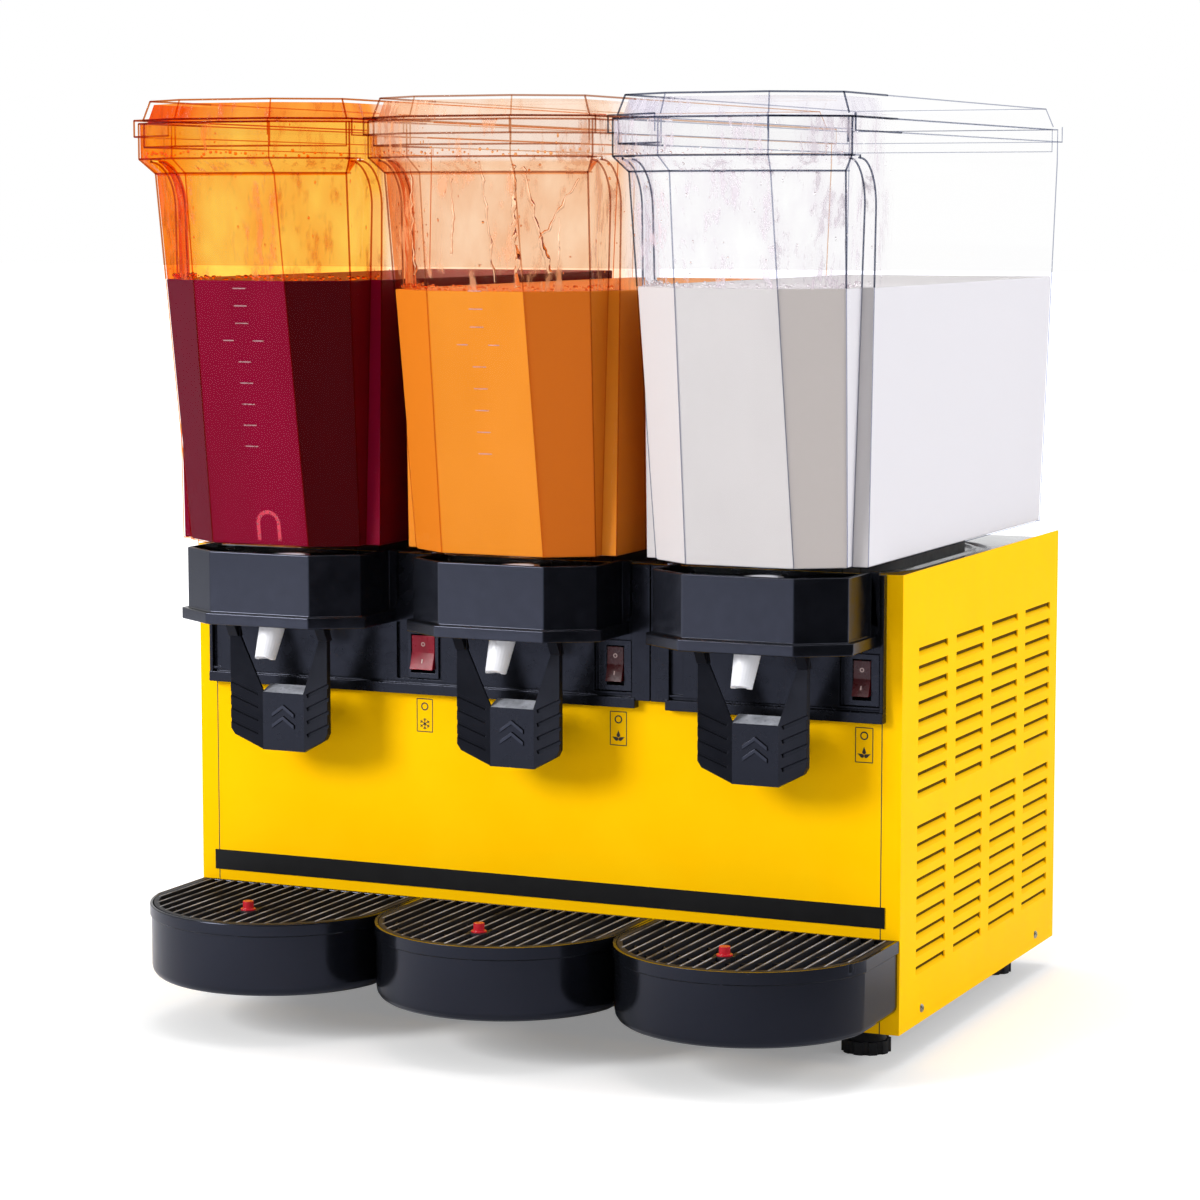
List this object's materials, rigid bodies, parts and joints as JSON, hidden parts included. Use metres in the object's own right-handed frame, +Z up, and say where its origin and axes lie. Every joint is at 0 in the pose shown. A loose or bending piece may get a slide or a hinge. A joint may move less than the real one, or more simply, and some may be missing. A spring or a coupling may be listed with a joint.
{
  "type": "cold drink dispenser",
  "caption": "Counter-top cold drink dispenser with clear lift-off tanks in a row, a push-lever tap under each, louvred sheet housing and rounded drip trays.",
  "frame": {"origin": "middle of the bounding box in plan, on the counter under the feet", "axes": "+Z up; +X to the right of a person facing the taps; the front with the taps and trays faces -Y"},
  "size_m": [0.6, 0.555, 0.721],
  "materials": {
    "yellow_paint": "smooth gloss powder coat",
    "black_moulding": "glossy moulded plastic",
    "black_strip": "satin strip",
    "switch_black": "glossy moulded plastic",
    "deck_steel": "polished stainless steel",
    "galvanised_steel": "galvanised sheet",
    "pin_steel": "ground pin",
    "white_plastic": "smooth moulded plastic",
    "clear_tank": "clear polycarbonate",
    "gasket_rubber": "soft matt rubber",
    "motor_metal": "plain enamel",
    "black_enamel": "gloss enamel",
    "fin_aluminium": "plain fins",
    "fan_black": "satin moulded plastic",
    "red_float": "smooth moulded plastic",
    "red_rocker": "glossy translucent plastic",
    "foot_rubber": "satin moulded rubber"
  },
  "bodies": {
    "housing": {"base_pan": "galvanised_steel", "left_side_panel": "yellow_paint", "right_side_panel": "yellow_paint", "front_panel": "yellow_paint", "rear_panel": "yellow_paint", "top_deck": "deck_steel", "double_fascia": "black_moulding", "single_fascia": "black_moulding", "trim_strip": "black_strip", "switch_bezels": "switch_black", "tray_brackets": "galvanised_steel", "left_collar": "black_moulding", "middle_collar": "black_moulding", "right_collar": "black_moulding", "tap_spouts": "white_plastic", "lever_pins": "pin_steel", "evaporators": "deck_steel", "tank_gaskets": "gasket_rubber", "pump_covers": "white_plastic", "pump_motors": "motor_metal", "compressor": "black_enamel", "condenser": "fin_aluminium", "fan_unit": "fan_black"},
    "left_tank": {"left_tank": "clear_tank"},
    "left_lid": {"left_lid": "clear_tank"},
    "left_push_lever": {"left_push_lever": "black_moulding"},
    "left_valve_plunger": {"left_valve_plunger": "white_plastic"},
    "left_impeller": {"left_impeller": "white_plastic"},
    "left_drip_tray": {"left_drip_tray": "black_moulding"},
    "left_drip_grille": {"left_drip_grille": "black_moulding"},
    "left_float": {"left_float": "red_float"},
    "left_rocker": {"left_rocker": "red_rocker"},
    "middle_tank": {"middle_tank": "clear_tank"},
    "middle_lid": {"middle_lid": "clear_tank"},
    "middle_push_lever": {"middle_push_lever": "black_moulding"},
    "middle_valve_plunger": {"middle_valve_plunger": "white_plastic"},
    "middle_impeller": {"middle_impeller": "white_plastic"},
    "middle_drip_tray": {"middle_drip_tray": "black_moulding"},
    "middle_drip_grille": {"middle_drip_grille": "black_moulding"},
    "middle_float": {"middle_float": "red_float"},
    "middle_rocker": {"middle_rocker": "red_rocker"},
    "right_tank": {"right_tank": "clear_tank"},
    "right_lid": {"right_lid": "clear_tank"},
    "right_push_lever": {"right_push_lever": "black_moulding"},
    "right_valve_plunger": {"right_valve_plunger": "white_plastic"},
    "right_impeller": {"right_impeller": "white_plastic"},
    "right_drip_tray": {"right_drip_tray": "black_moulding"},
    "right_drip_grille": {"right_drip_grille": "black_moulding"},
    "right_float": {"right_float": "red_float"},
    "right_rocker": {"right_rocker": "red_rocker"},
    "fan_rotor": {"fan_rotor": "white_plastic"},
    "front_left_foot": {"front_left_foot": "foot_rubber"},
    "front_right_foot": {"front_right_foot": "foot_rubber"},
    "rear_left_foot": {"rear_left_foot": "foot_rubber"},
    "rear_right_foot": {"rear_right_foot": "foot_rubber"}
  },
  "joints": [
    {"name": "left_tank_lift", "type": "slide", "parent": "housing", "child": "left_tank", "axis": [0, 0, 1], "range_m": [0, 0.15]},
    {"name": "left_lid_lift", "type": "slide", "parent": "left_tank", "child": "left_lid", "axis": [0, 0, 1], "range_m": [0, 0.12]},
    {"name": "left_lever_push", "type": "hinge", "parent": "housing", "child": "left_push_lever", "pos_m": [-0.2, -0.1845, 0.333], "axis": [1, 0, 0], "range_deg": [0, 10], "stiffness_Nm_per_rad": 1.2, "springref_deg": -11.46},
    {"name": "left_valve_rise", "type": "slide", "parent": "housing", "child": "left_valve_plunger", "axis": [0, 0.4384, 0.8988], "range_m": [0, 0.0031]},
    {"name": "left_impeller_spin", "type": "hinge", "parent": "housing", "child": "left_impeller", "pos_m": [-0.2, 0.0505, 0.478], "axis": [0, 0, 1], "continuous": true},
    {"name": "left_tray_pull", "type": "slide", "parent": "housing", "child": "left_drip_tray", "axis": [0, -1, 0], "range_m": [0, 0.06]},
    {"name": "left_grille_lift", "type": "slide", "parent": "left_drip_tray", "child": "left_drip_grille", "axis": [0, 0, 1], "range_m": [0, 0.05]},
    {"name": "left_float_rise", "type": "slide", "parent": "left_drip_grille", "child": "left_float", "axis": [0, 0, 1], "range_m": [0, 0.008]},
    {"name": "middle_tank_lift", "type": "slide", "parent": "housing", "child": "middle_tank", "axis": [0, 0, 1], "range_m": [0, 0.15]},
    {"name": "middle_lid_lift", "type": "slide", "parent": "middle_tank", "child": "middle_lid", "axis": [0, 0, 1], "range_m": [0, 0.12]},
    {"name": "middle_lever_push", "type": "hinge", "parent": "housing", "child": "middle_push_lever", "pos_m": [0, -0.1845, 0.333], "axis": [1, 0, 0], "range_deg": [0, 10], "stiffness_Nm_per_rad": 1.2, "springref_deg": -11.46},
    {"name": "middle_valve_rise", "type": "slide", "parent": "housing", "child": "middle_valve_plunger", "axis": [0, 0.4384, 0.8988], "range_m": [0, 0.0031]},
    {"name": "middle_impeller_spin", "type": "hinge", "parent": "housing", "child": "middle_impeller", "pos_m": [0, 0.0505, 0.478], "axis": [0, 0, 1], "continuous": true},
    {"name": "middle_tray_pull", "type": "slide", "parent": "housing", "child": "middle_drip_tray", "axis": [0, -1, 0], "range_m": [0, 0.06]},
    {"name": "middle_grille_lift", "type": "slide", "parent": "middle_drip_tray", "child": "middle_drip_grille", "axis": [0, 0, 1], "range_m": [0, 0.05]},
    {"name": "middle_float_rise", "type": "slide", "parent": "middle_drip_grille", "child": "middle_float", "axis": [0, 0, 1], "range_m": [0, 0.008]},
    {"name": "right_tank_lift", "type": "slide", "parent": "housing", "child": "right_tank", "axis": [0, 0, 1], "range_m": [0, 0.15]},
    {"name": "right_lid_lift", "type": "slide", "parent": "right_tank", "child": "right_lid", "axis": [0, 0, 1], "range_m": [0, 0.12]},
    {"name": "right_lever_push", "type": "hinge", "parent": "housing", "child": "right_push_lever", "pos_m": [0.2, -0.1845, 0.333], "axis": [1, 0, 0], "range_deg": [0, 10], "stiffness_Nm_per_rad": 1.2, "springref_deg": -11.46},
    {"name": "right_valve_rise", "type": "slide", "parent": "housing", "child": "right_valve_plunger", "axis": [0, 0.4384, 0.8988], "range_m": [0, 0.0031]},
    {"name": "right_impeller_spin", "type": "hinge", "parent": "housing", "child": "right_impeller", "pos_m": [0.2, 0.0505, 0.478], "axis": [0, 0, 1], "continuous": true},
    {"name": "right_tray_pull", "type": "slide", "parent": "housing", "child": "right_drip_tray", "axis": [0, -1, 0], "range_m": [0, 0.06]},
    {"name": "right_grille_lift", "type": "slide", "parent": "right_drip_tray", "child": "right_drip_grille", "axis": [0, 0, 1], "range_m": [0, 0.05]},
    {"name": "right_float_rise", "type": "slide", "parent": "right_drip_grille", "child": "right_float", "axis": [0, 0, 1], "range_m": [0, 0.008]},
    {"name": "left_rocker_tilt", "type": "hinge", "parent": "housing", "child": "left_rocker", "pos_m": [-0.095, -0.1245, 0.2925], "axis": [1, 0, 0], "range_deg": [0, 18]},
    {"name": "middle_rocker_tilt", "type": "hinge", "parent": "housing", "child": "middle_rocker", "pos_m": [0.07, -0.1245, 0.2925], "axis": [1, 0, 0], "range_deg": [0, 18]},
    {"name": "right_rocker_tilt", "type": "hinge", "parent": "housing", "child": "right_rocker", "pos_m": [0.27, -0.1245, 0.2925], "axis": [1, 0, 0], "range_deg": [0, 18]},
    {"name": "fan_spin", "type": "hinge", "parent": "housing", "child": "fan_rotor", "pos_m": [0.214, 0.0715, 0.113], "axis": [1, 0, 0], "continuous": true},
    {"name": "front_left_foot_turn", "type": "hinge", "parent": "housing", "child": "front_left_foot", "pos_m": [-0.258, -0.0795, 0.03], "axis": [0, 0, 1], "continuous": true},
    {"name": "front_right_foot_turn", "type": "hinge", "parent": "housing", "child": "front_right_foot", "pos_m": [0.258, -0.0795, 0.03], "axis": [0, 0, 1], "continuous": true},
    {"name": "rear_left_foot_turn", "type": "hinge", "parent": "housing", "child": "rear_left_foot", "pos_m": [-0.258, 0.2225, 0.03], "axis": [0, 0, 1], "continuous": true},
    {"name": "rear_right_foot_turn", "type": "hinge", "parent": "housing", "child": "rear_right_foot", "pos_m": [0.258, 0.2225, 0.03], "axis": [0, 0, 1], "continuous": true}
  ],
  "couplings": [
    {"joint": "left_valve_rise", "follows": "left_lever_push", "m_per_rad": 0.017189},
    {"joint": "middle_valve_rise", "follows": "middle_lever_push", "m_per_rad": 0.017189},
    {"joint": "right_valve_rise", "follows": "right_lever_push", "m_per_rad": 0.017189}
  ]
}
